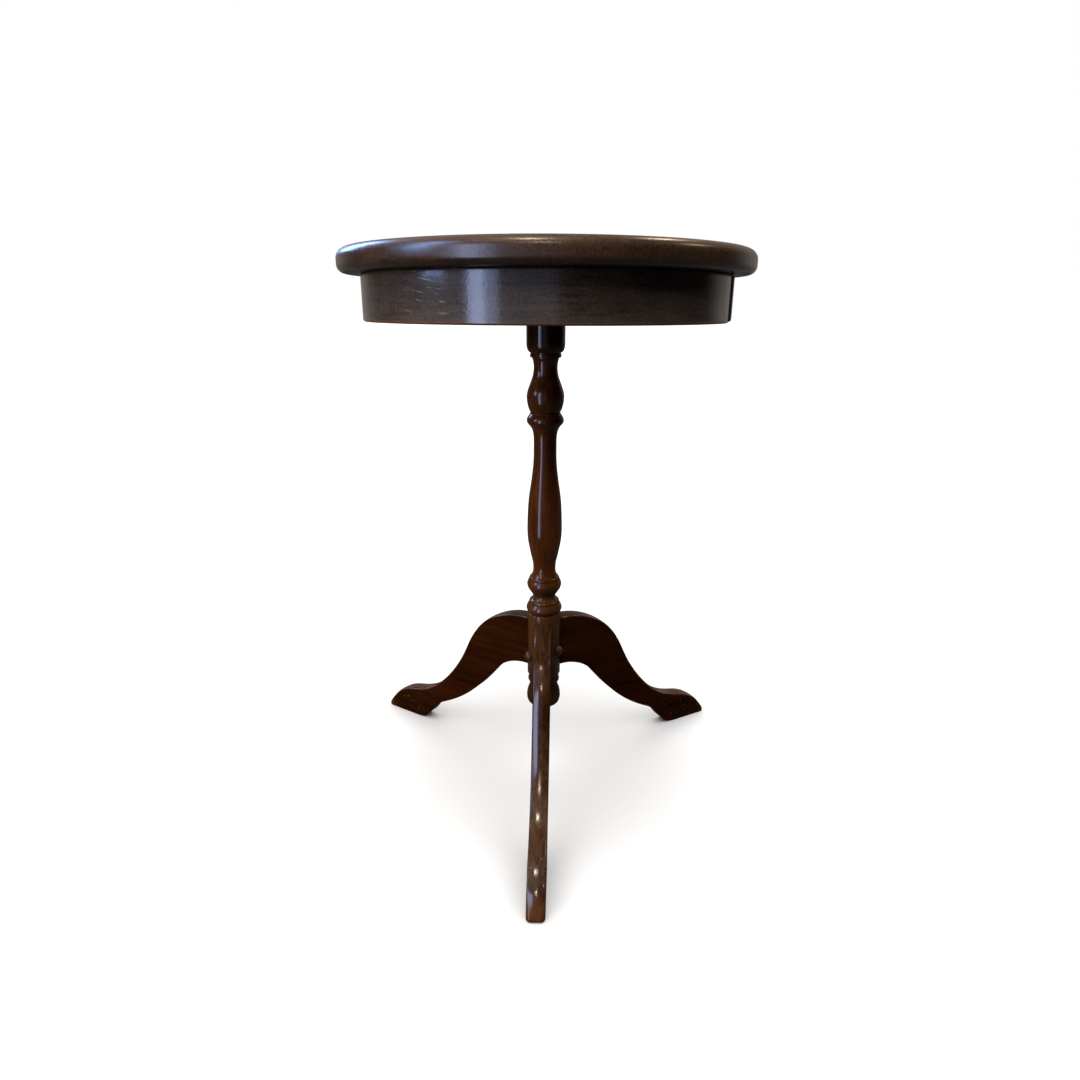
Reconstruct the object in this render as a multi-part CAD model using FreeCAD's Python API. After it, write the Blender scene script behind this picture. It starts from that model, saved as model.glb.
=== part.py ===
import FreeCAD, Part
import math
import os

# Pedestal side table: round top, drum apron with one drawer, turned column, three curved legs.
# Sizes are millimetres and degrees. The origin is on the floor under the column's axis, +Z is up,
# and the drawer opens towards -Y over the front leg.

Vector = FreeCAD.Vector

# Whole table
table_height = 610.0
full_turn = 360.0
front_angle = -90.0
fit_gap = 0.1
overrun = 5.0
touch = 0.001

# Top board: its rounded edges are straight cuts, each corner in shares of the round's radius
top_radius = 210.0
top_overhang = 22.0
top_thickness = 22.5
top_upper_round = 9.5
top_lower_round = 6.0
round_shares = [(1, 0), (0.29, 0.29), (0, 1)]

# Drum apron: a bent wall closed from below by a floor, with a drawer cut out of it
band_height = 45.0
band_thickness = 12.0
band_edge_ease = 1.5
floor_thickness = 12.0
floor_recess = 2.0

# Drawer front, cut from the same bent wall and left standing a little proud
front_half_angle = 48.0
front_kerf = 1.0
front_head_gap = 1.0
front_raise = 1.3
front_proud = 2.5

# Drawer box: its width and length, and the rails' length, are shares of the drum's radius
drawer_width_share = 1.28
drawer_length_share = 1.49
guide_length_share = 0.95
drawer_head_gap = 4.5
drawer_board = 10.0
drawer_running_gap = 0.5
panel_thickness = 4.0
panel_lift = 5.0
groove_depth = 4.0
front_block_size = 18.0

# Rails inside the drum
guide_width = 14.0
rear_rail_width = 18.0
band_block_length = 60.0

# Drawer knob: cuts outwards from the drawer front, in shares of the knob's reach and radius
knob_radius = 10.5
knob_reach = 21.0
knob_shares = [(0, 0.66), (0.12, 0.66), (0.12, 0.4), (0.55, 0.4), (0.55, 1), (0.93, 1), (1, 0.86)]

# Column
column_radius = 21.0
block_radius = 20.0
block_cap = 8.5
block_skirt = 8.5
drop_length = 48.0
tenon_radius = 13.0

# Turned outline of the shaft, from the drum down to the leg block: shares of the shaft's length
# and of the column's radius
shaft_shares = [
    (1.000, 0.990), (0.926, 0.990), (0.911, 0.955), (0.900, 0.840), (0.885, 0.720), (0.864, 0.618),
    (0.838, 0.618), (0.800, 0.820), (0.768, 0.955), (0.742, 0.955), (0.710, 0.800), (0.696, 0.945),
    (0.677, 0.945), (0.665, 0.790), (0.636, 0.630), (0.552, 0.630), (0.490, 0.725), (0.420, 0.880),
    (0.345, 0.948), (0.285, 0.948), (0.230, 0.795), (0.180, 0.626), (0.156, 0.626), (0.133, 0.780),
    (0.117, 0.932), (0.099, 0.932), (0.066, 0.640), (0.042, 0.795), (0.025, 0.968), (0.010, 0.968),
    (0.000, 0.925),
]

# Outline of the drop under the leg block: shares of its length and of the block's radius
drop_shares = [
    (1.000, 1.000), (0.930, 0.945), (0.860, 0.985), (0.740, 0.985), (0.640, 0.880), (0.420, 1.030),
    (0.240, 1.030), (0.100, 0.810), (0.000, 0.250),
]

# Legs: the outline is a chain of arcs, each going on in the direction of the one before it. The
# places where the bend changes are shares of the leg's length and rise, along its back from inside
# the block to the toe and along its belly from there to the heel.
leg_reach = 262.0
leg_rise = 200.0
leg_thickness = 19.0
leg_back_shares = [(0, 0.9975), (0.193, 0.953), (0.393, 0.701), (0.583, 0.3425), (0.784, 0.21), (1, 0)]
leg_back_start_angle = 3.0
leg_belly_shares = [(0, 0.681), (0.214, 0.57), (0.2895, 0.457), (0.582, 0.18), (0.663, 0.085), (0.7455, 0)]
leg_belly_start_angle = 5.2
rear_right_angle = 30.0
rear_left_angle = 150.0
leg_angles = {"front": front_angle, "rear_right": rear_right_angle, "rear_left": rear_left_angle}

# Caps over the bolts that hold the legs, each on the far side of the column from its leg
cap_radius = 4.8
cap_height = 4.0
cap_rise = 16.5
cap_stagger = 8.0

# Heights that follow from the sizes above
top_underside = table_height - top_thickness
band_bottom = top_underside - band_height
floor_bottom = band_bottom + floor_recess
floor_top = floor_bottom + floor_thickness
panel_bottom = floor_top + panel_lift
panel_top = panel_bottom + panel_thickness
drawer_top = top_underside - drawer_head_gap
front_bottom = band_bottom + front_raise
front_top = top_underside - front_head_gap
knob_height = (front_bottom + front_top) / 2
root_bottom = leg_rise * leg_belly_shares[0][1]
block_top = leg_rise + block_cap
block_bottom = root_bottom - block_skirt
drop_bottom = block_bottom - drop_length
shaft_length = floor_bottom - block_top

# Plan places that follow from the sizes above
band_radius = top_radius - top_overhang
band_inner = band_radius - band_thickness
floor_radius = band_inner - fit_gap
drawer_length = band_radius * drawer_length_share
side_outer = band_radius * drawer_width_share / 2
side_inner = side_outer - drawer_board
front_face_y = -band_radius - front_proud
drawer_back_y = front_face_y + drawer_length
guide_inner = side_outer + drawer_running_gap
guide_outer = guide_inner + guide_width
guide_back_y = drawer_back_y
guide_front_y = guide_back_y - band_radius * guide_length_share
guide_centre_y = (guide_front_y + guide_back_y) / 2
leg_root = block_radius - overrun
leg_length = leg_reach - leg_root


def box(x_range, y_range, z_range):
    """Block between two places on each axis, given in either order."""
    low = Vector(min(x_range), min(y_range), min(z_range))
    size = Vector(max(x_range), max(y_range), max(z_range)) - low
    return Part.makeBox(size.x, size.y, size.z, low)


def rod(radius, start, end):
    """Round bar between two points."""
    along = end - start
    return Part.makeCylinder(radius, along.Length, start, along)


def disc(radius, low, high):
    """Upright cylinder on the column's axis."""
    return rod(radius, Vector(0, 0, low), Vector(0, 0, high))


def lathe(cuts, place, axis):
    """Solid turned from straight cuts; place gives the point for a distance along the axis and a radius."""
    first = place(cuts[0][0], 0)
    last = place(cuts[-1][0], 0)
    corners = [first] + [place(*cut) for cut in cuts] + [last, first]
    turned = Part.Face(Part.makePolygon(corners)).revolve(first, axis, full_turn)
    return turned


def upright(along, radius):
    return Vector(radius, 0, along)


def arc_chain(places, start_angle):
    """Arcs in the XZ plane through the places, each setting off the way the last one arrived."""
    turn = math.radians(start_angle)
    heading = Vector(math.cos(turn), 0, math.sin(turn))
    edges = []
    for start, end in zip(places, places[1:]):
        chord = end - start
        along = Vector(chord).normalize()
        arrival = along * (heading * along) * 2 - heading
        bulge = Vector(heading - arrival).normalize()
        half_turn = heading.getAngle(along)
        middle = (start + end) / 2 + bulge * (chord.Length / 2 * math.tan(half_turn / 2))
        edges.append(Part.Arc(start, middle, end).toShape())
        heading = arrival
    return edges


def rim(shape, radius, height):
    """Round edges of a shape at one radius and height about the column's axis."""
    found = []
    for edge in shape.Edges:
        middle = edge.valueAt((edge.FirstParameter + edge.LastParameter) / 2)
        if abs(math.hypot(middle.x, middle.y) - radius) < touch and abs(middle.z - height) < touch:
            found.append(edge)
    return found


def wall_sector(low, high, half_angle, middle_angle):
    """Stretch of the bent drum wall, with its outer lower edge eased."""
    up = Vector(0, 0, 1)
    wall = Part.makeCylinder(band_radius, high - low, Vector(0, 0, low), up, half_angle * 2)
    wall.rotate(Vector(0, 0, 0), up, middle_angle - half_angle)
    wall = wall.cut(disc(band_inner, low - overrun, high + overrun))
    return wall.makeChamfer(band_edge_ease, rim(wall, band_radius, low))


def table_top():
    """Round board with both edges rounded over."""
    lower = [(top_underside + top_lower_round * up, top_radius - top_lower_round * inward)
             for inward, up in round_shares]
    upper = [(table_height - top_upper_round * down, top_radius - top_upper_round * inward)
             for inward, down in reversed(round_shares)]
    return lathe(lower + upper, upright, Vector(0, 0, 1))


def drum_band():
    return wall_sector(band_bottom, top_underside, full_turn / 2 - front_half_angle, -front_angle)


def drum_floor():
    """Disc inside the drum wall, with a hole for the column's tenon."""
    floor = disc(floor_radius, floor_bottom, floor_top)
    return floor.cut(disc(tenon_radius + fit_gap, floor_bottom - overrun, floor_top + overrun))


def guide(side):
    """Rail beside the drawer on one side, minus or plus one."""
    x_range = (side * guide_inner, side * guide_outer)
    return box(x_range, (guide_front_y, guide_back_y), (floor_top, top_underside))


def in_drum(x_range, y_range):
    """Block as tall as the drum's room, cut to the curve of its wall."""
    block = box(x_range, y_range, (floor_top, top_underside))
    return block.common(disc(floor_radius, floor_top, top_underside))


def rear_rail():
    """Cross rail that stops the drawer."""
    return in_drum((-band_radius, band_radius), (drawer_back_y, drawer_back_y + rear_rail_width))


def band_block(side):
    """Glue block between a guide and the drum wall."""
    half = band_block_length / 2
    return in_drum((side * guide_outer, side * band_radius), (guide_centre_y - half, guide_centre_y + half))


def drawer_front():
    """Curved front cut from the drum wall and grooved for the panel."""
    half_angle = front_half_angle - math.degrees(front_kerf / band_radius)
    front = wall_sector(front_bottom, front_top, half_angle, front_angle)
    front = front.cut(disc(band_inner + groove_depth, panel_bottom - fit_gap, panel_top + fit_gap))
    front.translate(Vector(0, -front_proud, 0))
    return front


def front_curve(radius):
    """Upright cylinder about the drawer front's own centre, for what fits inside the front."""
    curve = disc(radius, floor_bottom, table_height)
    curve.translate(Vector(0, -front_proud, 0))
    return curve


def drawer_side(side):
    """Side board, coped to the curved front and grooved for the panel."""
    x_range = (side * side_inner, side * side_outer)
    board = box(x_range, (front_face_y, drawer_back_y), (floor_top, drawer_top))
    groove = box((side * (side_inner - overrun), side * (side_inner + groove_depth)),
                 (front_face_y, drawer_back_y + overrun), (panel_bottom - fit_gap, panel_top + fit_gap))
    return board.common(front_curve(band_inner - fit_gap)).cut(groove)


def drawer_back():
    reach = side_inner - fit_gap
    return box((-reach, reach), (drawer_back_y - drawer_board, drawer_back_y), (panel_top, drawer_top))


def drawer_bottom():
    """Thin panel in the grooves, its front edge following the curved front."""
    reach = side_inner + groove_depth - fit_gap
    panel = box((-reach, reach), (front_face_y, drawer_back_y), (panel_bottom, panel_top))
    return panel.common(front_curve(band_inner + groove_depth - fit_gap))


def front_block(side):
    """Glue block in the corner between a side board and the curved front."""
    corner_x = side_inner - fit_gap
    corner_y = -front_proud - math.sqrt(band_inner ** 2 - side_inner ** 2)
    block = box((side * corner_x, side * (corner_x - front_block_size)),
                (front_face_y, corner_y + front_block_size), (panel_top, drawer_top))
    return block.common(front_curve(band_inner - fit_gap))


def drawer_knob():
    """Turned knob: a foot against the front, a neck and a flat head."""
    def place(along, out):
        return Vector(out, front_face_y - along, knob_height)

    cuts = [(knob_reach * along, knob_radius * out) for along, out in knob_shares]
    return lathe(cuts, place, Vector(0, -1, 0))


def column():
    """Turned column with a tenon into the drum's floor, the leg block and the drop under it, in one piece."""
    tenon = [(floor_top, tenon_radius), (floor_bottom, tenon_radius)]
    shaft = [(block_top + shaft_length * up, column_radius * out) for up, out in shaft_shares]
    drop = [(drop_bottom + drop_length * up, block_radius * out) for up, out in drop_shares]
    return lathe(tenon + shaft + [(block_top, block_radius)] + drop, upright, Vector(0, 0, 1))


def aim(shape, name, height):
    """Turn a shape that lies along +X on the axis towards a leg and raise it."""
    placed = shape.copy()
    placed.rotate(Vector(0, 0, 0), Vector(0, 0, 1), leg_angles[name])
    placed.translate(Vector(0, 0, height))
    return placed


def bolt_caps():
    """Round cap over the head of each leg's bolt, coped to the block, each bolt above the last."""
    cap = rod(cap_radius, Vector(0, 0, 0), Vector(-block_radius - cap_height, 0, 0))
    coped = cap.cut(disc(block_radius, -block_radius, block_radius))
    lowest = root_bottom + cap_rise
    caps = [aim(coped, name, lowest + cap_stagger * step) for step, name in enumerate(leg_angles)]
    return Part.makeCompound(caps)


def leg(name):
    """Curved leg sawn from a board, its root coped to the block."""
    def places(shares):
        return [Vector(leg_root + leg_length * out, -leg_thickness / 2, leg_rise * up) for out, up in shares]

    back = places(leg_back_shares)
    belly = places(leg_belly_shares)
    sides = arc_chain(back, leg_back_start_angle) + arc_chain(belly, leg_belly_start_angle)
    ends = [Part.LineSegment(back[0], belly[0]).toShape(), Part.LineSegment(back[-1], belly[-1]).toShape()]
    outline = Part.Wire(Part.sortEdges(sides + ends)[0])
    board = Part.Face(outline).extrude(Vector(0, leg_thickness, 0))
    return aim(board.cut(disc(block_radius, 0, block_top)), name, 0)


def build():
    """Every piece of the table by name."""
    parts = {
        "table_top": table_top(),
        "drum_band": drum_band(),
        "drum_floor": drum_floor(),
        "rear_rail": rear_rail(),
        "drawer_front": drawer_front(),
        "drawer_back": drawer_back(),
        "drawer_bottom": drawer_bottom(),
        "drawer_knob": drawer_knob(),
        "column": column(),
        "bolt_caps": bolt_caps(),
    }
    for side, word in ((-1, "left"), (1, "right")):
        parts["guide_" + word] = guide(side)
        parts["band_block_" + word] = band_block(side)
        parts["drawer_side_" + word] = drawer_side(side)
        parts["front_block_" + word] = front_block(side)
    for name in leg_angles:
        parts["leg_" + name] = leg(name)
    return parts


os.makedirs("parts", exist_ok=True)
for node, shape in build().items():
    shape.exportStep("parts/" + node + ".step")
    print(node, "solids", len(shape.Solids), "valid", shape.isValid(), "volume", round(shape.Volume))
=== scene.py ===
import math

import bmesh
import bpy
import numpy as np
from mathutils import Matrix, Vector


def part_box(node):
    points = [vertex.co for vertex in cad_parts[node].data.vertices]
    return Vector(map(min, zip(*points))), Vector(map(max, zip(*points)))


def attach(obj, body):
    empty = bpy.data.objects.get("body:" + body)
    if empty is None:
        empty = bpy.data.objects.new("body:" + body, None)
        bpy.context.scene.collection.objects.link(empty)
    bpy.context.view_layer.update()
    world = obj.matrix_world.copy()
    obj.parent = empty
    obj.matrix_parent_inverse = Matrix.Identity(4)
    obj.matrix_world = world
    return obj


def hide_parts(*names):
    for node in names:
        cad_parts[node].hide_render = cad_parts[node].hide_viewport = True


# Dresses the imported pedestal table: smooth turned and rounded pieces over the CAD nodes,
# lacquered wood, a pale floor, soft light and the photograph's camera.
# Lengths are in metres, angles in radians unless a comment says degrees.

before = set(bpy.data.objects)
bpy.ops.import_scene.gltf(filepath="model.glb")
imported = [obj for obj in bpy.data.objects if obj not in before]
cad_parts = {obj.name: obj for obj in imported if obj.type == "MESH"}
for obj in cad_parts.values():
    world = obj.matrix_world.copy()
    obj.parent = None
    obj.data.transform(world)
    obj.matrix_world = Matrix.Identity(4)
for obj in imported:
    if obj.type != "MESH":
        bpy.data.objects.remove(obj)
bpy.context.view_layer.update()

# Camera, measured in the photograph: the table is turned under a camera that looks along +Y
camera_turn = math.radians(118.2)
camera_side = -0.0053
camera_distance = 0.7785
camera_height = 0.557
camera_pitch = math.radians(18.36)
camera_roll = math.radians(0.25)
camera_lens = 23.4
sensor_width = 36.0
nearest_seen = 0.01
to_part = Matrix.Rotation(-camera_turn, 4, "Z")

# Sizes read from the frame
top_low, top_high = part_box("table_top")
band_low, band_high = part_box("drum_band")
front_low, front_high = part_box("drawer_front")
floor_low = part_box("drum_floor")[0]
column_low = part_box("column")[0]
knob_low, knob_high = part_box("drawer_knob")
leg_low, leg_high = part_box("leg_front")
top_radius = top_high.x
band_radius = band_high.x
leg_half = leg_high.x
leg_reach = -leg_low.y

# Top and drum: edge rounds, and the gap at each end of the drawer front
top_upper_round = 0.0098
top_lower_round = 0.0075
band_ease = 0.0022
band_thickness = 0.012
front_proud = -front_low.y - band_radius
front_gap = 0.001

# Legs: worn corners, eased edges, facets along the back by (reach, share), rounded toes, and the
# angles round the column in degrees
leg_step = 0.0015
leg_softening = 36
worn_from = (0.045, 0.065)
toe_length = 0.020
toe_kept = 0.6
leg_ease = 0.0011
facet_start = 0.0024
facet_tilt = (math.radians(15.5), math.radians(19.5))
facet_crown = 0.35
facet_facing = (-0.2, 0.3)
facet_shares = [(0.080, 0.3), (0.100, 1.0), (0.142, 1.0), (0.165, 0.4), (0.240, 0.4), (0.250, 1.0)]
toe_round = 0.0050
toe_reach = 0.011
leg_angles = {"leg_front": -90, "leg_rear_right": 30, "leg_rear_left": 150}

# Caps over the leg bolts: shares of the block's radius where they are sought and where they
# are seated, and shares of their own depth up to the edge of the dome and within it
cap_sought = 0.8
cap_seated = 0.9
cap_edge = 0.30
cap_dome = 0.75
cap_proud = 0.0015
cap_growth = 1.28

# Meshes: smooth shading up to these angles in degrees, and how finely curves are divided. Half of
# a leg has some places across its flat, and more round its eased edge from an angle on.
smooth_angle = 40
leg_smooth_angle = 35
curve_spans = 6
round_points = 9
wall_steps_per_degree = 0.7
flat_places = 12
ease_places = 5
ease_start = 0.3
weld_distance = 1e-6
side_tolerance = 1e-5

# Column's widest radius, and its leg block
column_radius = 0.021
block_radius = 0.020
block_ease = 0.0013
block_above_leg = 0.0089
block_top = leg_high.z + block_above_leg
block_bottom = 0.128

# Turned outline of the column's shaft: shares of its length, upwards from the leg block, and of
# its widest radius. A stretch of two points is straight, one of more is a smooth curve.
shaft_shares = [
    [(0.000, 0.890), (0.000, 0.868)],
    [(0.000, 0.868), (0.005, 0.925), (0.011, 0.985), (0.019, 1.008), (0.028, 0.962), (0.037, 0.880)],
    [(0.037, 0.880), (0.037, 0.842)],
    [(0.037, 0.842), (0.041, 0.858), (0.046, 0.838), (0.049, 0.795)],
    [(0.049, 0.795), (0.049, 0.765)],
    [(0.049, 0.765), (0.053, 0.695), (0.059, 0.648), (0.064, 0.640)],
    [(0.064, 0.640), (0.068, 0.650), (0.076, 0.725), (0.091, 0.885), (0.102, 0.952), (0.110, 0.965),
     (0.119, 0.925), (0.126, 0.868)],
    [(0.126, 0.868), (0.126, 0.830)],
    [(0.126, 0.830), (0.130, 0.845), (0.134, 0.825), (0.137, 0.785)],
    [(0.137, 0.785), (0.137, 0.758)],
    [(0.137, 0.758), (0.143, 0.705), (0.152, 0.652), (0.161, 0.630), (0.172, 0.626)],
    [(0.172, 0.626), (0.190, 0.655), (0.225, 0.780), (0.280, 0.935), (0.340, 0.948), (0.415, 0.885),
     (0.483, 0.735), (0.545, 0.628), (0.605, 0.610)],
    [(0.605, 0.610), (0.631, 0.620), (0.650, 0.672), (0.660, 0.745), (0.665, 0.800)],
    [(0.665, 0.800), (0.671, 0.885), (0.678, 0.962), (0.684, 0.985), (0.692, 0.955), (0.700, 0.885),
     (0.706, 0.818)],
    [(0.706, 0.818), (0.709, 0.800)],
    [(0.709, 0.800), (0.709, 0.762)],
    [(0.709, 0.762), (0.716, 0.830), (0.724, 0.885), (0.742, 0.955), (0.760, 0.983), (0.776, 0.952),
     (0.797, 0.840), (0.823, 0.690), (0.845, 0.625), (0.860, 0.622), (0.867, 0.637)],
    [(0.867, 0.637), (0.874, 0.656), (0.882, 0.697)],
    [(0.882, 0.697), (0.885, 0.702)],
    [(0.885, 0.702), (0.885, 0.795)],
    [(0.885, 0.795), (0.887, 0.808), (0.895, 0.808), (0.897, 0.795)],
    [(0.897, 0.795), (0.897, 0.778)],
    [(0.897, 0.778), (0.900, 0.778)],
    [(0.900, 0.778), (0.900, 0.835)],
    [(0.900, 0.835), (0.905, 0.905), (0.911, 0.955), (0.919, 0.988), (0.926, 0.996)],
    [(0.926, 0.996), (1.000, 0.996)],
]

# Outline of the drop under the leg block, upwards: shares of its length and of the block's radius
drop_shares = [
    [(0.000, 0.000), (0.004, 0.250), (0.035, 0.520), (0.120, 0.850), (0.195, 0.985), (0.320, 1.035),
     (0.480, 0.985), (0.620, 0.872), (0.700, 0.815)],
    [(0.700, 0.815), (0.708, 0.790)],
    [(0.708, 0.790), (0.716, 0.850)],
    [(0.716, 0.850), (0.765, 0.935), (0.810, 0.958), (0.855, 0.935), (0.885, 0.890)],
    [(0.885, 0.890), (0.915, 0.880), (0.945, 0.925), (1.000, 1.000)],
]

# Knob, outwards from the drawer front: shares of its reach and of its radius
knob_shares = [
    [(0.00, 0.00), (0.00, 0.68)],
    [(0.00, 0.68), (0.06, 0.70), (0.12, 0.62)],
    [(0.12, 0.62), (0.22, 0.42), (0.40, 0.38), (0.54, 0.62)],
    [(0.54, 0.62), (0.60, 0.90), (0.72, 1.00), (0.86, 0.92), (0.96, 0.60), (1.00, 0.00)],
]


# Outlines

def between(before, start, end, after, share):
    """Point on the way from start to end, on a curve that also minds the points before and after."""
    bend = 2 * before - 5 * start + 4 * end - after
    twist = 3 * start - before - 3 * end + after
    return 0.5 * (2 * start + (end - before) * share + bend * share ** 2 + twist * share ** 3)


def sample(stretch):
    """Points along one stretch of an outline."""
    points = np.array(stretch, float)
    if len(points) == 2:
        return points
    guides = np.vstack([2 * points[0] - points[1], points, 2 * points[-1] - points[-2]])
    found = []
    for before, start, end, after in zip(guides, guides[1:], guides[2:], guides[3:]):
        found += [between(before, start, end, after, step / curve_spans) for step in range(curve_spans)]
    return np.array(found + [points[-1]])


def outline(stretches, length, radius, base):
    """Heights and radii along an outline given in shares."""
    points = np.vstack([sample(stretch) for stretch in stretches])
    return [(base + length * along, radius * max(out, 0)) for along, out in points]


def quarter(centre_radius, centre_height, radius, start, end):
    """Edge round as (height, radius) points; angles in degrees from the outward direction."""
    turns = np.radians(np.linspace(start, end, round_points))
    return [(centre_height + radius * math.sin(turn), centre_radius + radius * math.cos(turn))
            for turn in turns]


# Meshes

def weld(mesh):
    """Joins points of a mesh that lie in one place, which also takes out collapsed faces."""
    shape = bmesh.new()
    shape.from_mesh(mesh)
    bmesh.ops.remove_doubles(shape, verts=shape.verts, dist=weld_distance)
    shape.to_mesh(mesh)
    shape.free()


def piece(name, points, faces, material, body, shading=smooth_angle):
    """Mesh object; it rides on a CAD body if one is named."""
    mesh = bpy.data.meshes.new(name)
    mesh.from_pydata([tuple(point) for point in points], [], faces)
    mesh.validate()
    weld(mesh)
    mesh.update()
    mesh.shade_smooth()
    mesh.set_sharp_from_angle(angle=math.radians(shading))
    mesh.materials.append(material)
    made = bpy.data.objects.new(name, mesh)
    bpy.context.scene.collection.objects.link(made)
    if body:
        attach(made, body)
    return made


def tube_faces(rings, count, inside_out=False):
    """Faces between rings of points, and over the first and last ring."""
    faces = []
    for ring in range(rings - 1):
        for step in range(count):
            after = (step + 1) % count
            near, near_after = ring * count + step, ring * count + after
            far, far_after = near + count, near_after + count
            face = (near, far, far_after, near_after) if inside_out else (near, near_after, far_after, far)
            faces.append(face)
    first = tuple(range(count))
    last = tuple(range((rings - 1) * count, rings * count))
    if inside_out:
        return faces + [first, last[::-1]]
    return faces + [first[::-1], last]


def turned(name, profile, material, body, segments, place=None):
    """Piece turned about Z from (height, radius) points; place moves it from there."""
    angles = np.linspace(0, 2 * math.pi, segments, endpoint=False)
    points = [Vector((radius * math.cos(angle), radius * math.sin(angle), height))
              for height, radius in profile for angle in angles]
    if place:
        points = [place @ point for point in points]
    return piece(name, points, tube_faces(len(profile), segments), material, body)


def bent_wall(name, section, start, end, centre_y, material, body):
    """Closed (height, radius) section swept round the drum between two angles, with flat ends."""
    steps = int(math.degrees(end - start) * wall_steps_per_degree)
    angles = np.linspace(start, end, steps + 1)
    points = [(radius * math.cos(angle), centre_y + radius * math.sin(angle), height)
              for angle in angles for height, radius in section]
    return piece(name, points, tube_faces(len(angles), len(section), inside_out=True), material, body)


def wall_section(low, high):
    """Section of the drum wall with its outer edges eased."""
    inner = band_radius - band_thickness
    lower = quarter(band_radius - band_ease, low + band_ease, band_ease, -90, 0)
    upper = quarter(band_radius - band_ease, high - band_ease, band_ease, 0, 90)
    return [(low, inner)] + lower + upper + [(high, inner)]


# Legs

def border(faces):
    """Vertex numbers in order round the border of a patch of faces."""
    uses = {}
    for face in faces:
        for edge in face.edge_keys:
            uses[edge] = uses.get(edge, 0) + 1
    neighbours = {}
    for first, second in (edge for edge, count in uses.items() if count == 1):
        neighbours.setdefault(first, []).append(second)
        neighbours.setdefault(second, []).append(first)
    loop = [next(iter(neighbours))]
    while True:
        onward = [number for number in neighbours[loop[-1]] if number not in loop[-2:]]
        if not onward or onward[0] == loop[0]:
            return loop
        loop.append(onward[0])


def leg_outline():
    """Loop of (reach, height) points round the CAD front leg's side."""
    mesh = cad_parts["leg_front"].data
    edge = leg_half - side_tolerance
    side = [face for face in mesh.polygons if all(mesh.vertices[i].co.x > edge for i in face.vertices)]
    points = np.array([(-mesh.vertices[i].co.y, mesh.vertices[i].co.z) for i in border(side)])
    after = np.roll(points, -1, axis=0)
    area = np.sum(points[:, 0] * after[:, 1] - after[:, 0] * points[:, 1])
    return points if area > 0 else points[::-1]


def smooth(values, start, end):
    """Share from 0 to 1 as values go from start to end."""
    share = np.clip((np.asarray(values) - start) / (end - start), 0, 1)
    return share * share * (3 - 2 * share)


def softened(loop):
    """Loop in even steps, its corners worn round away from the leg's root and less so at the toe."""
    closed = np.vstack([loop, loop[:1]])
    along = np.concatenate([[0], np.cumsum(np.linalg.norm(np.diff(closed, axis=0), axis=1))])
    places = np.linspace(0, along[-1], int(along[-1] / leg_step), endpoint=False)
    worn = np.stack([np.interp(places, along, closed[:, axis]) for axis in (0, 1)], 1)
    toe = smooth(worn[:, 0], leg_reach - toe_length, leg_reach)
    share = smooth(worn[:, 0], *worn_from) * (1 - toe_kept * toe)
    for _ in range(leg_softening):
        middle = (np.roll(worn, 1, axis=0) + np.roll(worn, -1, axis=0)) / 2
        worn = worn + 0.5 * share[:, None] * (middle - worn)
    return worn


def inward(loop):
    """Inward normals along a loop, lengthened at its corners."""
    before = loop - np.roll(loop, 1, axis=0)
    after = np.roll(loop, -1, axis=0) - loop
    before /= np.linalg.norm(before, axis=1)[:, None]
    after /= np.linalg.norm(after, axis=1)[:, None]
    normals = np.stack([-(before + after)[:, 1], (before + after)[:, 0]], 1)
    normals /= np.linalg.norm(normals, axis=1)[:, None]
    share = np.clip(np.sum(normals * np.stack([-before[:, 1], before[:, 0]], 1), axis=1), 0.5, 1)
    return normals / share[:, None]


def rounded(across, radius):
    """Depth of an edge rounded by a radius, at places across half of a leg."""
    past = np.clip(across - (leg_half - radius), 0, radius)
    return radius - np.sqrt(radius ** 2 - past ** 2)


def facet_depths(across):
    """Depth that the facets take off the back, at places across half of a leg."""
    tilt = facet_tilt[0] + (facet_tilt[1] - facet_tilt[0]) * smooth(across, facet_start, leg_half)
    crown = across / facet_start * math.tan(facet_tilt[0]) * facet_crown
    slope = np.where(across > facet_start, np.tan(tilt), crown)
    return np.concatenate([[0], np.cumsum(np.diff(across) * (slope[1:] + slope[:-1]) / 2)])


def leg_sections(loop):
    """The loop at places across the leg: edges eased, back faceted below the root, toe rounded."""
    normals = inward(loop)
    flat = np.linspace(0, leg_half - leg_ease, flat_places)
    edge = leg_half - leg_ease * (1 - np.sin(np.linspace(ease_start, math.pi / 2, ease_places)))
    across = np.concatenate([flat, edge])
    back = smooth(-normals[:, 1], *facet_facing) * np.interp(loop[:, 0], *zip(*facet_shares))
    toe = smooth(loop[:, 0], leg_reach - toe_reach, leg_reach)
    depths = zip(across, rounded(across, leg_ease), facet_depths(across), rounded(across, toe_round))
    sections = []
    for place, ease, facet, cut in depths:
        moved = loop + normals * (ease + facet * back * (1 - toe))[:, None]
        moved[:, 0] -= cut * toe
        if place > 0:
            sections.insert(0, (-place, moved))
        sections.append((place, moved))
    return sections


def leg_board(name, sections, angle, material):
    """Leg through its sections, turned from the X axis to its place round the column."""
    points = [(reach, place, height) for place, section in sections for reach, height in section]
    faces = tube_faces(len(sections), len(sections[0][1]))
    made = piece(name, points, faces, material, None, leg_smooth_angle)
    made.rotation_euler.z = angle
    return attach(made, "table")


# Shader nodes

def node(tree, kind, **values):
    """New shader node with the given socket values."""
    made = tree.nodes.new(kind)
    for key, value in values.items():
        made.inputs[key.replace("_", " ")].default_value = value
    return made


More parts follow.
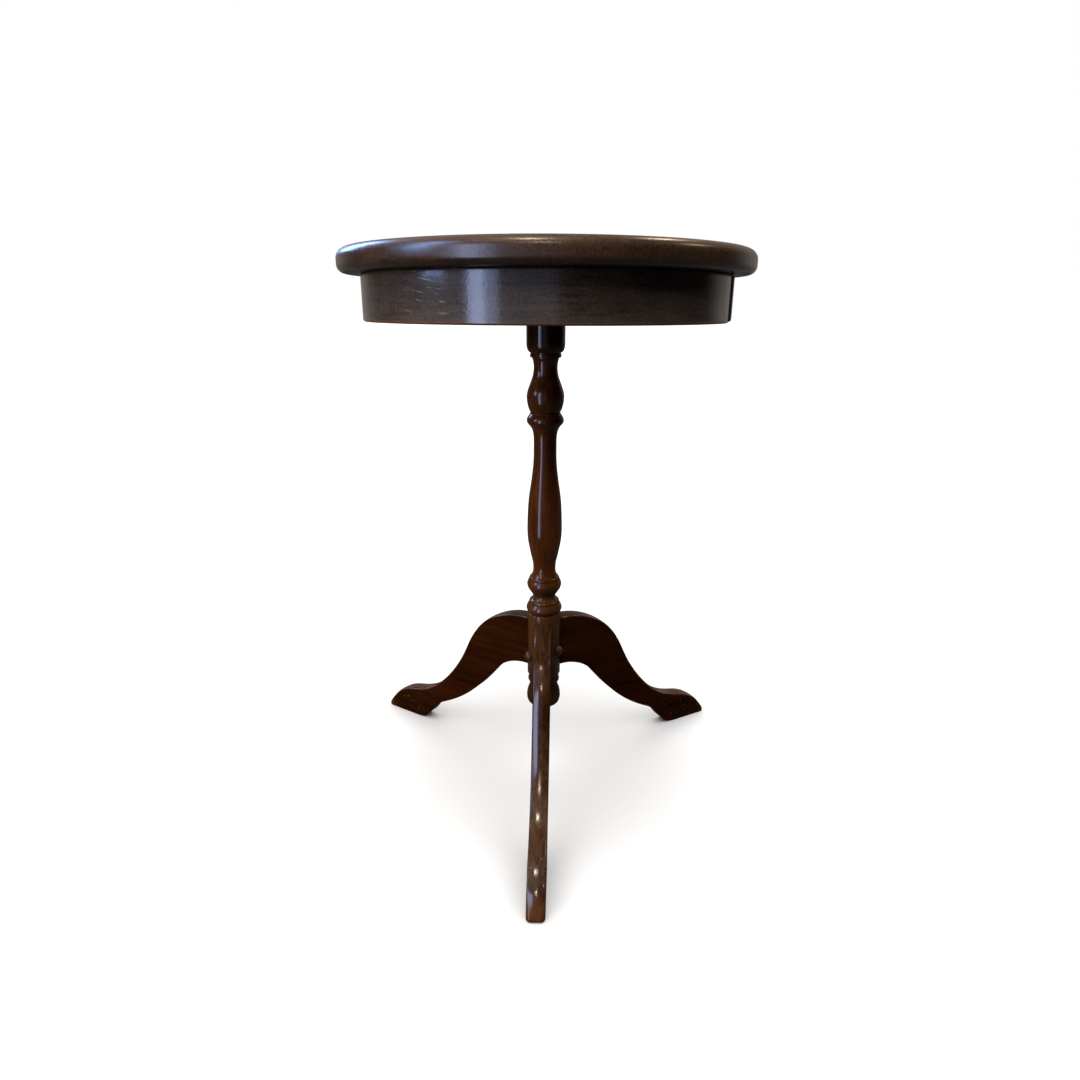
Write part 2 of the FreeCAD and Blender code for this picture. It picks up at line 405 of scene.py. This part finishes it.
def ramp(tree, source, stops):
    """Colour ramp between (place, colour) stops, fed by a socket."""
    made = tree.nodes.new("ShaderNodeValToRGB")
    elements = made.color_ramp.elements
    while len(elements) < len(stops):
        elements.new(0.5)
    for element, (place, colour) in zip(elements, stops):
        element.position = place
        element.color = (*colour, 1)
    tree.links.new(source, made.inputs["Fac"])
    return made.outputs["Color"]


def spread(tree, source, limits, results):
    """Value taken smoothly from one result to the other as a socket goes between its limits."""
    made = node(tree, "ShaderNodeMapRange", From_Min=limits[0], From_Max=limits[1],
                To_Min=results[0], To_Max=results[1])
    made.interpolation_type = "SMOOTHSTEP"
    tree.links.new(source, made.inputs["Value"])
    return made.outputs["Result"]


def combine(tree, action, first, second):
    """Math node on two sockets, or on a socket and a number."""
    made = tree.nodes.new("ShaderNodeMath")
    made.operation = action
    for place, value in enumerate((first, second)):
        if isinstance(value, (int, float)):
            made.inputs[place].default_value = value
        else:
            tree.links.new(value, made.inputs[place])
    return made.outputs["Value"]


def blend(tree, share, below, above):
    """Colour that goes from a socket's to another colour by a share."""
    made = tree.nodes.new("ShaderNodeMix")
    made.data_type = "RGBA"
    tree.links.new(share, made.inputs["Factor"])
    tree.links.new(below, made.inputs[6])
    made.inputs[7].default_value = (*above, 1)
    return made.outputs[2]


def compare(tree, action, source, vector):
    """Distance or product of a vector socket and a fixed vector."""
    made = tree.nodes.new("ShaderNodeVectorMath")
    made.operation = action
    made.inputs[1].default_value = vector
    tree.links.new(source, made.inputs[0])
    return made.outputs["Value"]


def axes(tree, source):
    """X, Y and Z sockets of a vector socket."""
    made = tree.nodes.new("ShaderNodeSeparateXYZ")
    tree.links.new(source, made.inputs["Vector"])
    return made.outputs


def own_place(tree):
    """A point on the piece, in the piece's own axes."""
    return tree.nodes.new("ShaderNodeTexCoord").outputs["Object"]


def upward(tree):
    """How much the surface faces up, from -1 to 1."""
    return axes(tree, tree.nodes.new("ShaderNodeNewGeometry").outputs["Normal"])["Z"]


def grain(tree, scale, turn=(0, 0, 0), **values):
    """Noise stretched along each of the piece's own axes, or along these axes turned."""
    turned_place = node(tree, "ShaderNodeMapping", Rotation=turn)
    stretch = node(tree, "ShaderNodeMapping", Scale=scale)
    tree.links.new(own_place(tree), turned_place.inputs["Vector"])
    tree.links.new(turned_place.outputs["Vector"], stretch.inputs["Vector"])
    noise = node(tree, "ShaderNodeTexNoise", Scale=1.0, **values)
    tree.links.new(stretch.outputs["Vector"], noise.inputs["Vector"])
    return noise.outputs["Fac"]


def bumped(tree, height, strength, depth):
    """Normal of a surface with bumps from a height socket."""
    made = node(tree, "ShaderNodeBump", Strength=strength, Distance=depth)
    tree.links.new(height, made.inputs["Height"])
    return made.outputs["Normal"]


def new_material(name):
    """New material, its node tree and its shader."""
    material = bpy.data.materials.new(name)
    material.use_nodes = True
    return material, material.node_tree, material.node_tree.nodes["Principled BSDF"]


# Wood in general: limits of its tone, scales of its textures, unevenness of its sheen, depth of its bumps
tone_limits = (0.38, 0.62)
mottle_scale = (22, 22, 16)
speck_scale = (520, 520, 520)
sheen_scale = (45, 45, 45)
sheen_limits = (0.3, 0.7)
sheen_least = 0.8
sheen_most = 1.25
pore_fineness = 2.5
pore_depth = 0.0003
peel_depth = 0.0002


def streaks(tree, along):
    """Streaks of grain."""
    return grain(tree, along, Detail=6.0, Roughness=0.62, Distortion=0.8)


def wood_tone(tree, along, parts):
    """Streaks, a slow mottle and fine specks, added up by their parts."""
    textures = (streaks(tree, along),
                grain(tree, mottle_scale, Detail=3.0, Roughness=0.5),
                grain(tree, speck_scale, Detail=3.0, Roughness=0.6))
    streak, mottle, speck = [combine(tree, "MULTIPLY", texture, part)
                             for texture, part in zip(textures, parts)]
    return combine(tree, "ADD", combine(tree, "ADD", streak, mottle), speck)


# Wear on the case: bare wood along the lower edge, and a patch of scratches on the photograph's left
raw_wood = (0.11, 0.045, 0.022)
raw_levels = (band_low.z + 0.001, band_low.z + 0.0026)
raw_strength = 0.85
fray_scale = (60, 60, 60)
fray_depth = 0.0012
pale_scratch = (0.36, 0.34, 0.34)
scratch_scale = (1, 48, 700)
scratch_limits = (0.63, 0.73)
scratch_strength = 0.42
scratch_patch = (0.010, 0.040)
scratch_elsewhere = 0.12
scratch_tilt = math.radians(9)
scratch_angle = math.radians(-90 - 31) - camera_turn
scratch_height = (band_low.z * 2 + band_high.z * 3) / 5
scratch_place = Vector((band_radius * math.cos(scratch_angle), band_radius * math.sin(scratch_angle),
                        scratch_height))
scratch_turn = (Matrix.Rotation(scratch_tilt, 3, "X") @ Matrix.Rotation(-scratch_angle, 3, "Z")).to_euler()


def case_wear(tree, colour):
    """The case's colour with its frayed bare edge and its scratches."""
    fray = combine(tree, "MULTIPLY", grain(tree, fray_scale, Detail=2.0), fray_depth)
    level = combine(tree, "SUBTRACT", axes(tree, own_place(tree))["Z"], fray)
    colour = blend(tree, spread(tree, level, raw_levels, (raw_strength, 0.0)), colour, raw_wood)
    lines = grain(tree, scratch_scale, scratch_turn, Detail=1.0, Distortion=0.3)
    scratches = spread(tree, lines, scratch_limits, (0.0, scratch_strength))
    away = compare(tree, "DISTANCE", own_place(tree), scratch_place)
    near = spread(tree, away, scratch_patch, (1.0, scratch_elsewhere))
    return blend(tree, combine(tree, "MULTIPLY", scratches, near), colour, pale_scratch)


# Colour bands up the column: (heights between which it fades in, strength, tint) for collar, block and
# drop. The collar's and the drop's are painted shade, under the drum and beneath the block; the block's is
# a duller, darker tint.
column_shade_and_tint_bands = [
    ((0.49, 0.53), 0.75, (0.0, 0.0, 0.0)),
    ((0.27, 0.225), 0.55, (0.033, 0.0162, 0.006)),
    ((0.15, 0.12), 0.55, (0.006, 0.003, 0.001)),
]


def shade_and_tint_column(tree, colour):
    """The column's colour with painted shade at the collar and on the drop, and a duller tint over the
    block.
    """
    # Painted shade: the collar darkens to black under the drum and the drop darkens beneath the block; the
    # block's band only dulls its tint.
    for heights, strength, tint in column_shade_and_tint_bands:
        share = spread(tree, axes(tree, own_place(tree))["Z"], heights, (0.0, strength))
        colour = blend(tree, share, colour, tint)
    return colour


# Wear on the legs, by the reach along a leg: pale nicks, dust with a painted sheen on the faces that look
# up, worn toes
pale_nick = (0.34, 0.27, 0.21)
nick_scale = (430, 760, 760)
nick_limits = (0.73, 0.765)
nick_strength = 0.8
nick_reach = (0.12, 0.25)
pale_dust_and_sheen = (0.090, 0.055, 0.034)
dust_and_sheen_facing = (0.25, 0.75)
dust_and_sheen_reach = (0.08, 0.15)
dust_and_sheen_strength = (0.13, 0.27)
dust_and_sheen_in_grain = (0.35, 1.0)
worn_toe = (0.070, 0.028, 0.009)
toe_wear = (leg_reach - 0.016, leg_reach - 0.007)
toe_strength = 0.5
leg_grain = (7, 200, 130)


def leg_wear_and_sheen(tree, colour):
    """The leg's colour with its nicks, dust and painted sheen on the faces that look up, and its worn toe.
    """
    reach = axes(tree, own_place(tree))["X"]
    spots = grain(tree, nick_scale, Detail=1.0, Roughness=0.4)
    nicks = spread(tree, spots, nick_limits, (0.0, nick_strength))
    nicks = combine(tree, "MULTIPLY", nicks, spread(tree, reach, nick_reach, (0.0, 1.0)))
    colour = blend(tree, nicks, colour, pale_nick)
    # Paler on faces that look up, more so towards the foot: dust, and a painted sheen.
    dust_and_sheen_share = spread(tree, upward(tree), dust_and_sheen_facing, (0.0, 1.0))
    dust_and_sheen_share = combine(tree, "MULTIPLY", dust_and_sheen_share, spread(tree, reach, dust_and_sheen_reach, dust_and_sheen_strength))
    dust_and_sheen_grain = spread(tree, streaks(tree, leg_grain), tone_limits, dust_and_sheen_in_grain)
    colour = blend(tree, combine(tree, "MULTIPLY", dust_and_sheen_share, dust_and_sheen_grain), colour, pale_dust_and_sheen)
    return blend(tree, spread(tree, reach, toe_wear, (0.0, toe_strength)), colour, worn_toe)


# Coats that thin with how much a face looks up, between limits, and the share of the coat left there
level_facing = (0.93, 0.995)
level_coat = 0.3
downward_facing = (-0.97, -0.9)
downward_coat = 0.35
upright_facing = (0.0, 0.35)
upright_coat = 0.02
leg_top_facing = (0.9, 0.98)
leg_top_coat = 0.5
toe_coat = 0.45


def flat_satin(tree, coat):
    """Coat that thins on faces that look straight up, and more on those that look straight down."""
    level = combine(tree, "ABSOLUTE", upward(tree), 0.0)
    weight = spread(tree, level, level_facing, (coat, coat * level_coat))
    below = spread(tree, upward(tree), downward_facing, (downward_coat, 1.0))
    return combine(tree, "MULTIPLY", weight, below)


def leg_satin(tree, coat):
    """Coat that nearly goes on upright faces, and thins on level ones and at the worn toe."""
    weight = spread(tree, upward(tree), upright_facing, (coat * upright_coat, coat))
    above = spread(tree, upward(tree), leg_top_facing, (1.0, leg_top_coat))
    weight = combine(tree, "MULTIPLY", weight, above)
    worn = spread(tree, axes(tree, own_place(tree))["X"], toe_wear, (1.0, toe_coat))
    return combine(tree, "MULTIPLY", weight, worn)


# Materials

def lacquer(name, dark, light, along, roughness, coat, coat_roughness, pore=0.2, peel=0.1,
            peel_scale=1100, parts=(0.5, 0.3, 0.2), specular=0.12, wear_and_painted_light=None, satin=None):
    """Wood with pores and an uneven sheen under a clear, finely rippled coat: the function given for wear
    lays marks over its colour, real wear and also painted shade on the column and a painted sheen on the
    legs, and satin thins its coat on some faces."""
    material, tree, shader = new_material(name)
    colour = ramp(tree, wood_tone(tree, along, parts), [(tone_limits[0], dark), (tone_limits[1], light)])
    if wear_and_painted_light:
        colour = wear_and_painted_light(tree, colour)
    tree.links.new(colour, shader.inputs["Base Color"])
    sheen = grain(tree, sheen_scale, Detail=4.0, Roughness=0.55)
    uneven = spread(tree, sheen, sheen_limits, (roughness * sheen_least, roughness * sheen_most))
    tree.links.new(uneven, shader.inputs["Roughness"])
    pores = grain(tree, tuple(value * pore_fineness for value in along), Detail=3.0, Roughness=0.7)
    tree.links.new(bumped(tree, pores, pore, pore_depth), shader.inputs["Normal"])
    skin = grain(tree, (peel_scale, peel_scale, peel_scale), Detail=2.0, Roughness=0.5)
    tree.links.new(bumped(tree, skin, peel, peel_depth), shader.inputs["Coat Normal"])
    shader.inputs["Specular IOR Level"].default_value = specular
    shader.inputs["Coat Weight"].default_value = coat
    shader.inputs["Coat Roughness"].default_value = coat_roughness
    if satin:
        tree.links.new(satin(tree, coat), shader.inputs["Coat Weight"])
    return material


tarnish_scale = (180, 180, 180)
tarnish_limits = (0.3, 0.7)
dark_brass = (0.42, 0.29, 0.11)
light_brass = (0.66, 0.48, 0.21)
brass_roughness = (0.2, 0.42)


def brass(name):
    """Aged brass with a mottled tarnish."""
    material, tree, shader = new_material(name)
    mottle = grain(tree, tarnish_scale, Detail=5.0, Roughness=0.6)
    tarnish = ramp(tree, mottle, [(tarnish_limits[0], dark_brass), (tarnish_limits[1], light_brass)])
    tree.links.new(tarnish, shader.inputs["Base Color"])
    tree.links.new(spread(tree, mottle, tarnish_limits, brass_roughness), shader.inputs["Roughness"])
    shader.inputs["Metallic"].default_value = 1.0
    return material


def matt(name, colour, roughness):
    """Plain surface that mirrors nothing, for the floor."""
    material, _, shader = new_material(name)
    shader.inputs["Base Color"].default_value = (*colour, 1)
    shader.inputs["Roughness"].default_value = roughness
    shader.inputs["Specular IOR Level"].default_value = 0.0
    return material


# Grain runs round the case horizontally, across the top, up the column and along each leg
case_wood = lacquer("case lacquer", (0.018, 0.0129, 0.0109), (0.065, 0.0495, 0.0435), along=(15, 15, 170),
                    roughness=0.42, coat=0.9, coat_roughness=0.14, pore=0.15, peel=0.25, peel_scale=420,
                    parts=(0.34, 0.26, 0.40), wear_and_painted_light=case_wear, satin=flat_satin)
top_wood = lacquer("top lacquer", (0.0125, 0.0062, 0.0031), (0.043, 0.0228, 0.0126), along=(9, 260, 300),
                   roughness=0.36, coat=0.9, coat_roughness=0.26, pore=0.15, peel=0.5, peel_scale=420,
                   parts=(0.4, 0.25, 0.35), satin=flat_satin)
column_wood = lacquer("column lacquer", (0.019, 0.0047, 0.0007), (0.086, 0.0256, 0.0045), along=(90, 90, 5),
                      roughness=0.26, coat=0.51, coat_roughness=0.115, pore=0.05, peel=0.03, specular=0.03,
                      wear_and_painted_light=shade_and_tint_column)
leg_wood = lacquer("leg lacquer", (0.0080, 0.0018, 0.0003), (0.026, 0.0070, 0.0013), along=leg_grain,
                   roughness=0.30, coat=0.9, coat_roughness=0.165, pore=0.08, peel=0.06, peel_scale=520,
                   specular=0.01, wear_and_painted_light=leg_wear_and_sheen, satin=leg_satin)
cap_wood = lacquer("cap lacquer", (0.018, 0.010, 0.0035), (0.055, 0.030, 0.011), along=(120, 120, 120),
                   roughness=0.4, coat=0.5, coat_roughness=0.25, pore=0.1, peel=0.1)
inner_wood = lacquer("inner wood", (0.20, 0.12, 0.065), (0.36, 0.24, 0.14), along=(12, 220, 220),
                     roughness=0.6, coat=0.0, coat_roughness=0.3, specular=0.25)
knob_brass = brass("knob brass")
pale_floor = matt("pale floor", (0.86, 0.86, 0.86), roughness=0.9)

# Top board
top_profile = [(top_low.z, 0.0)]
top_profile += quarter(top_radius - top_lower_round, top_low.z + top_lower_round, top_lower_round, -90, 0)
top_profile += quarter(top_radius - top_upper_round, top_high.z - top_upper_round, top_upper_round, 0, 90)
top_profile += [(top_high.z, 0.0)]
top_board = turned("top_board", top_profile, top_wood, "table", segments=256)
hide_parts("table_top")

# Drum wall and drawer front, with the drawer's opening where the CAD has it
front_edge = math.asin(front_high.x / band_radius)
band_edge = front_edge + front_gap / band_radius
frontwards = -math.pi / 2
drum_wall = bent_wall("drum_wall", wall_section(band_low.z, band_high.z), frontwards + band_edge,
                      frontwards + 2 * math.pi - band_edge, 0, case_wood, "table")
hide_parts("drum_band")
drawer_face = bent_wall("drawer_face", wall_section(front_low.z, front_high.z), frontwards - front_edge,
                        frontwards + front_edge, -front_proud, case_wood, "drawer")
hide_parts("drawer_front")

# Column with its leg block and drop
shaft = outline(shaft_shares, floor_low.z - block_top, column_radius, block_top)
drop = outline(drop_shares, block_bottom - column_low.z, block_radius, column_low.z)
shoulder = quarter(block_radius - block_ease, block_top - block_ease, block_ease, 0, 90)
post = turned("post", drop + shoulder + shaft, column_wood, "table", segments=128)
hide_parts("column")

# Legs
sections = leg_sections(softened(leg_outline()))
for name, angle in leg_angles.items():
    board = leg_board(name + "_board", sections, math.radians(angle), leg_wood)
    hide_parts(name)

# Caps over the bolts, each on the far side of the column from its leg
cap_points = [vertex.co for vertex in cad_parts["bolt_caps"].data.vertices]
for name, angle in leg_angles.items():
    outward = Vector((-math.cos(math.radians(angle)), -math.sin(math.radians(angle)), 0))
    own = [point for point in cap_points if point.dot(outward) > block_radius * cap_sought]
    lowest = min(point.z for point in own)
    highest = max(point.z for point in own)
    seat = block_radius * cap_seated
    depth = max(point.dot(outward) for point in own) + cap_proud - seat
    cap_radius = (highest - lowest) / 2 * cap_growth
    dome = [(seat, 0.0), (seat, cap_radius)]
    dome += [(seat + depth * (cap_edge + cap_dome * math.sin(turn)), cap_radius * math.cos(turn))
             for turn in np.linspace(0, math.pi / 2, round_points)]
    level = Matrix.Translation((0, 0, (highest + lowest) / 2))
    aim = outward.to_track_quat("Z", "Y").to_matrix().to_4x4()
    cap = turned("bolt_cap_of_" + name, dome, cap_wood, "table", segments=40, place=level @ aim)
    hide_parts("bolt_caps")

# Knob
knob_profile = outline(knob_shares, knob_high.y - knob_low.y, knob_high.x, 0)
knob_seat = Matrix.Translation((0, knob_high.y, (knob_low.z + knob_high.z) / 2))
knob_place = knob_seat @ Matrix.Rotation(math.pi / 2, 4, "X")
knob = turned("knob", knob_profile, knob_brass, "drawer", segments=64, place=knob_place)
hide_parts("drawer_knob")

# CAD nodes that are shown as they are
for name in ("drum_floor", "rear_rail", "guide_left", "guide_right", "band_block_left", "band_block_right",
             "drawer_side_left", "drawer_side_right", "drawer_back", "drawer_bottom", "front_block_left",
             "front_block_right"):
    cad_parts[name].data.materials.clear()
    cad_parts[name].data.materials.append(inner_wood)

# Floor: kept out of the dark lacquer's reflections and of the light on the wood, which it would pale.
# The panels light everything but the floor.
floor_size = 60.0
bpy.ops.mesh.primitive_plane_add(size=floor_size, location=(0, 0, 0))
ground = bpy.context.object
ground.name = "ground"
ground.visible_glossy = False
ground.visible_diffuse = False
ground.data.materials.append(pale_floor)
all_but_floor = bpy.data.collections.new("lit by panels")
all_but_floor.objects.link(ground)
all_but_floor.collection_objects[0].light_linking.link_state = "EXCLUDE"

# Lights
light_aim = Vector((0, 0, 0.45))


def light(name, kind, angle, distance, height, power, colour, mirrored=True, lighting=True):
    """Light that faces the table; its angle is in degrees leftwards from the camera's side."""
    data = bpy.data.lights.new(name, kind)
    data.energy = power
    data.color = colour
    lamp = bpy.data.objects.new(name, data)
    lamp.visible_glossy = mirrored
    lamp.visible_diffuse = lighting
    if kind == "AREA":
        lamp.light_linking.receiver_collection = all_but_floor
    bpy.context.scene.collection.objects.link(lamp)
    turn = math.radians(angle)
    place = Vector((-distance * math.sin(turn), -distance * math.cos(turn), height))
    aim = (light_aim - place).to_track_quat("-Z", "Y").to_matrix().to_4x4()
    lamp.matrix_world = to_part @ Matrix.Translation(place) @ aim
    return data


def panel(name, angle, distance, height, width, tall, power, colour, mirrored=True, lighting=True):
    """Rectangular soft light; it may be only mirrored, or only light the wood's own colour."""
    data = light(name, "AREA", angle, distance, height, power, colour, mirrored, lighting)
    data.shape = "RECTANGLE"
    data.size = width
    data.size_y = tall


daylight = (0.50, 0.63, 1.0)
cold_daylight = (0.28, 0.50, 1.0)
lamplight = (1.0, 0.80, 0.56)
wall_light = (1.0, 0.92, 0.84)

# Panels by name, angle, distance, height, width, own height, power and colour: windows, fills, lamps
panel("window", 39.5, 2.6, 0.5, 0.42, 2.6, 34, daylight, lighting=False)
panel("window curtain", 31.5, 2.6, 0.5, 0.42, 2.6, 12, daylight, lighting=False)
panel("side window", 67, 2.6, 1.85, 0.75, 2.1, 62, cold_daylight, lighting=False)
panel("far window", 133, 2.6, 1.8, 0.6, 1.2, 42, cold_daylight, lighting=False)
panel("room glow", 8, 2.6, 0.6, 1.3, 2.0, 2.6, daylight, lighting=False)
panel("left fill", 66, 3.0, 0.9, 1.6, 2.0, 82, wall_light, mirrored=False)
panel("high fill", 26, 1.5, 2.6, 0.8, 0.8, 46, wall_light, mirrored=False)
panel("rear fill", -135, 3.0, 1.2, 2.0, 2.0, 30, wall_light, mirrored=False)
panel("near lamp", 16, 0.75, 2.5, 0.18, 0.18, 12, lamplight)
panel("front lamp", 3, 2.45, 2.5, 0.18, 0.18, 9, lamplight)
panel("rear right lamp", -125, 1.35, 2.5, 0.20, 0.20, 9, lamplight)
panel("right lamp", -95, 2.5, 2.5, 0.20, 0.20, 6, lamplight)
overhead = light("overhead", "SUN", 0, 0.2, 3.0, 4.15, (1.0, 1.0, 1.0), mirrored=False)
overhead.angle = math.radians(100)

# Room: white to the camera, and dim where the lacquer mirrors it. Each part of it fades between limits
# of agreement with its direction, or of height from -1 below to 1 above.
room_colour = (1.0, 0.91, 0.82, 1)
wall_turn = math.radians(7)
behind = to_part @ Vector((math.sin(wall_turn), math.cos(wall_turn), 0))
wall_limits = (0.38, 0.78)
wall_heights = (-0.3, 0.0)
wall_strength = 0.28
glow_tilt = math.radians(42)
overhead_left = to_part @ Vector((-math.sin(glow_tilt), 0, math.cos(glow_tilt)))
glow_limits = (0.35, 0.95)
glow_heights = (0.35, 0.8)
glow_strength = (0.015, 0.6)
glow_low_share = 0.02
floor_heights = (0.0, -0.35)
floor_strength = 0.09


def room_strength(tree):
    """Brightness of the mirrored room: a wall behind, a glow at the upper left and a lit floor."""
    way = tree.nodes.new("ShaderNodeTexCoord").outputs["Generated"]
    height = axes(tree, way)["Z"]
    wall = spread(tree, compare(tree, "DOT_PRODUCT", way, behind), wall_limits, (0.0, wall_strength))
    wall = combine(tree, "MULTIPLY", wall, spread(tree, height, wall_heights, (0.0, 1.0)))
    glow = spread(tree, compare(tree, "DOT_PRODUCT", way, overhead_left), glow_limits, glow_strength)
    glow = combine(tree, "MULTIPLY", glow, spread(tree, height, glow_heights, (glow_low_share, 1.0)))
    lit_floor = spread(tree, height, floor_heights, (0.0, floor_strength))
    return combine(tree, "ADD", combine(tree, "ADD", wall, glow), lit_floor)


world = bpy.data.worlds.new("studio")
world.use_nodes = True
bpy.context.scene.world = world
tree = world.node_tree
room = tree.nodes["Background"]
room.inputs["Color"].default_value = room_colour
tree.links.new(room_strength(tree), room.inputs["Strength"])
paper = node(tree, "ShaderNodeBackground", Color=(1, 1, 1, 1), Strength=1.0)
path = tree.nodes.new("ShaderNodeLightPath")
choice = tree.nodes.new("ShaderNodeMixShader")
tree.links.new(path.outputs["Is Camera Ray"], choice.inputs["Fac"])
tree.links.new(room.outputs["Background"], choice.inputs[1])
tree.links.new(paper.outputs["Background"], choice.inputs[2])
tree.links.new(choice.outputs["Shader"], tree.nodes["World Output"].inputs["Surface"])

# Camera
view = bpy.data.cameras.new("camera")
view.lens = camera_lens
view.sensor_width = sensor_width
view.sensor_fit = "HORIZONTAL"
view.clip_start = nearest_seen
eye = bpy.data.objects.new("camera", view)
bpy.context.scene.collection.objects.link(eye)
eye.matrix_world = (to_part @ Matrix.Translation((camera_side, -camera_distance, camera_height))
                    @ Matrix.Rotation(math.pi / 2 - camera_pitch, 4, "X")
                    @ Matrix.Rotation(camera_roll, 4, "Z"))
bpy.context.scene.camera = eye
bpy.context.scene.view_settings.view_transform = "Standard"

bpy.context.view_layer.update()
